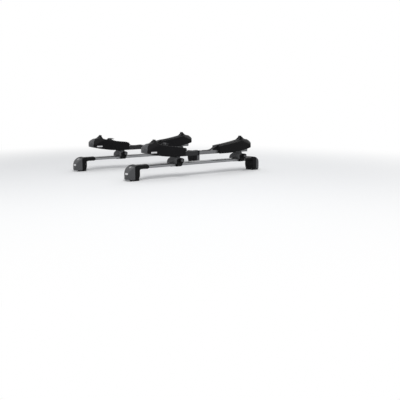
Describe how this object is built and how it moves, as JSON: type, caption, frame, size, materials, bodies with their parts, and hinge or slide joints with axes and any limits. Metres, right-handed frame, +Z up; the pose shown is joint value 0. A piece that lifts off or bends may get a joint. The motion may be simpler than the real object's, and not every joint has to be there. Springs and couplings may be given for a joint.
{
  "type": "surfboard roof carrier",
  "caption": "Roof carrier for a surfboard: crossbars on rail feet, padded telescoping cradles with horns, screw clamps and strap.",
  "frame": {"origin": "on the plane that the feet stand on, under the middle of the part's outline", "axes": "+X along the crossbars towards the cradles' sliding ends, +Y from the front crossbar to the rear one, with the clamp knobs at the -Y side of each, +Z up"},
  "size_m": [1.172, 0.8662, 0.259],
  "materials": {
    "bar": "satin anodised",
    "dark_tube": "satin",
    "light_tube": "satin anodised",
    "black_plastic": "fine grain",
    "grey_plastic": "satin",
    "knob": "satin",
    "pad": "ribbed",
    "rubber": "matt",
    "webbing": "woven",
    "buckle": "satin",
    "lock": "brushed",
    "steel": "zinc"
  },
  "bodies": {
    "base": {"front_crossbar": "bar", "front_slot_strip": "rubber", "front_foot_pads": "rubber", "front_outer_tube": "dark_tube", "front_tube_glide": "black_plastic", "front_strap": "webbing", "front_strap_buckle": "buckle", "rear_crossbar": "bar", "rear_slot_strip": "rubber", "rear_foot_pads": "rubber", "rear_outer_tube": "dark_tube", "rear_tube_glide": "black_plastic", "rear_strap": "webbing", "rear_strap_buckle": "buckle", "front_left_foot_body": "black_plastic", "front_left_foot_cover": "grey_plastic", "front_left_rail_claw": "steel", "front_left_housing": "black_plastic", "front_left_end_cap": "grey_plastic", "front_left_pad": "pad", "front_left_clamp_saddle": "grey_plastic", "front_right_foot_body": "black_plastic", "front_right_foot_cover": "grey_plastic", "front_right_rail_claw": "steel", "front_right_clamp_saddle": "grey_plastic", "rear_left_foot_body": "black_plastic", "rear_left_foot_cover": "grey_plastic", "rear_left_rail_claw": "steel", "rear_left_housing": "black_plastic", "rear_left_end_cap": "grey_plastic", "rear_left_pad": "pad", "rear_left_clamp_saddle": "grey_plastic", "rear_right_foot_body": "black_plastic", "rear_right_foot_cover": "grey_plastic", "rear_right_rail_claw": "steel", "rear_right_clamp_saddle": "grey_plastic", "foot_bolts": "steel", "buckle_pins": "steel"},
    "front_slider": {"front_inner_tube": "light_tube", "front_right_housing": "black_plastic", "front_right_end_cap": "grey_plastic", "front_right_pad": "pad"},
    "front_left_jaw": {"front_left_clamp_jaw": "black_plastic"},
    "front_left_knob": {"front_left_clamp_knob": "knob"},
    "front_left_lock": {"front_left_foot_lock": "lock"},
    "front_right_jaw": {"front_right_clamp_jaw": "black_plastic"},
    "front_right_knob": {"front_right_clamp_knob": "knob"},
    "front_right_lock": {"front_right_foot_lock": "lock"},
    "front_lever": {"front_buckle_lever": "buckle"},
    "rear_slider": {"rear_inner_tube": "light_tube", "rear_right_housing": "black_plastic", "rear_right_end_cap": "grey_plastic", "rear_right_pad": "pad"},
    "rear_left_jaw": {"rear_left_clamp_jaw": "black_plastic"},
    "rear_left_knob": {"rear_left_clamp_knob": "knob"},
    "rear_left_lock": {"rear_left_foot_lock": "lock"},
    "rear_right_jaw": {"rear_right_clamp_jaw": "black_plastic"},
    "rear_right_knob": {"rear_right_clamp_knob": "knob"},
    "rear_right_lock": {"rear_right_foot_lock": "lock"},
    "rear_lever": {"rear_buckle_lever": "buckle"}
  },
  "joints": [
    {"name": "front_telescope", "type": "slide", "parent": "base", "child": "front_slider", "axis": [1, 0, 0], "range_m": [-0.052, 0.108], "deforming": ["front_strap"]},
    {"name": "front_left_jaw_slide", "type": "slide", "parent": "base", "child": "front_left_jaw", "axis": [0, -1, 0], "range_m": [0, 0.02]},
    {"name": "front_left_knob_turn", "type": "hinge", "parent": "front_left_jaw", "child": "front_left_knob", "pos_m": [-0.189, -0.4089, 0.117], "axis": [0, -1, 0], "range_deg": [0, 1800]},
    {"name": "front_left_lock_turn", "type": "hinge", "parent": "base", "child": "front_left_lock", "pos_m": [-0.54672, -0.3489, 0.08872], "axis": [-0.5378, 0, 0.8431], "range_deg": [0, 90]},
    {"name": "front_right_jaw_slide", "type": "slide", "parent": "base", "child": "front_right_jaw", "axis": [0, -1, 0], "range_m": [0, 0.02]},
    {"name": "front_right_knob_turn", "type": "hinge", "parent": "front_right_jaw", "child": "front_right_knob", "pos_m": [0.382, -0.4089, 0.117], "axis": [0, -1, 0], "range_deg": [0, 1800]},
    {"name": "front_right_lock_turn", "type": "hinge", "parent": "base", "child": "front_right_lock", "pos_m": [0.54672, -0.3489, 0.08872], "axis": [0.5378, 0, 0.8431], "range_deg": [0, 90]},
    {"name": "front_lever_lift", "type": "hinge", "parent": "base", "child": "front_lever", "pos_m": [-0.27823, -0.3489, 0.22781], "axis": [0, -1, 0], "range_deg": [0, 75], "stiffness_Nm_per_rad": 0.02, "springref_deg": -22.92},
    {"name": "rear_telescope", "type": "slide", "parent": "base", "child": "rear_slider", "axis": [1, 0, 0], "range_m": [-0.052, 0.108], "deforming": ["rear_strap"]},
    {"name": "rear_left_jaw_slide", "type": "slide", "parent": "base", "child": "rear_left_jaw", "axis": [0, -1, 0], "range_m": [0, 0.02]},
    {"name": "rear_left_knob_turn", "type": "hinge", "parent": "rear_left_jaw", "child": "rear_left_knob", "pos_m": [-0.189, 0.3071, 0.117], "axis": [0, -1, 0], "range_deg": [0, 1800]},
    {"name": "rear_left_lock_turn", "type": "hinge", "parent": "base", "child": "rear_left_lock", "pos_m": [-0.54672, 0.3671, 0.08872], "axis": [-0.5378, 0, 0.8431], "range_deg": [0, 90]},
    {"name": "rear_right_jaw_slide", "type": "slide", "parent": "base", "child": "rear_right_jaw", "axis": [0, -1, 0], "range_m": [0, 0.02]},
    {"name": "rear_right_knob_turn", "type": "hinge", "parent": "rear_right_jaw", "child": "rear_right_knob", "pos_m": [0.382, 0.3071, 0.117], "axis": [0, -1, 0], "range_deg": [0, 1800]},
    {"name": "rear_right_lock_turn", "type": "hinge", "parent": "base", "child": "rear_right_lock", "pos_m": [0.54672, 0.3671, 0.08872], "axis": [0.5378, 0, 0.8431], "range_deg": [0, 90]},
    {"name": "rear_lever_lift", "type": "hinge", "parent": "base", "child": "rear_lever", "pos_m": [-0.27823, 0.3671, 0.22781], "axis": [0, -1, 0], "range_deg": [0, 75], "stiffness_Nm_per_rad": 0.02, "springref_deg": -22.92}
  ],
  "couplings": [
    {"joint": "front_left_knob_turn", "follows": "front_left_jaw_slide", "rad_per_m": 1570.8},
    {"joint": "front_right_knob_turn", "follows": "front_right_jaw_slide", "rad_per_m": 1570.8},
    {"joint": "rear_left_knob_turn", "follows": "rear_left_jaw_slide", "rad_per_m": 1570.8},
    {"joint": "rear_right_knob_turn", "follows": "rear_right_jaw_slide", "rad_per_m": 1570.8}
  ]
}
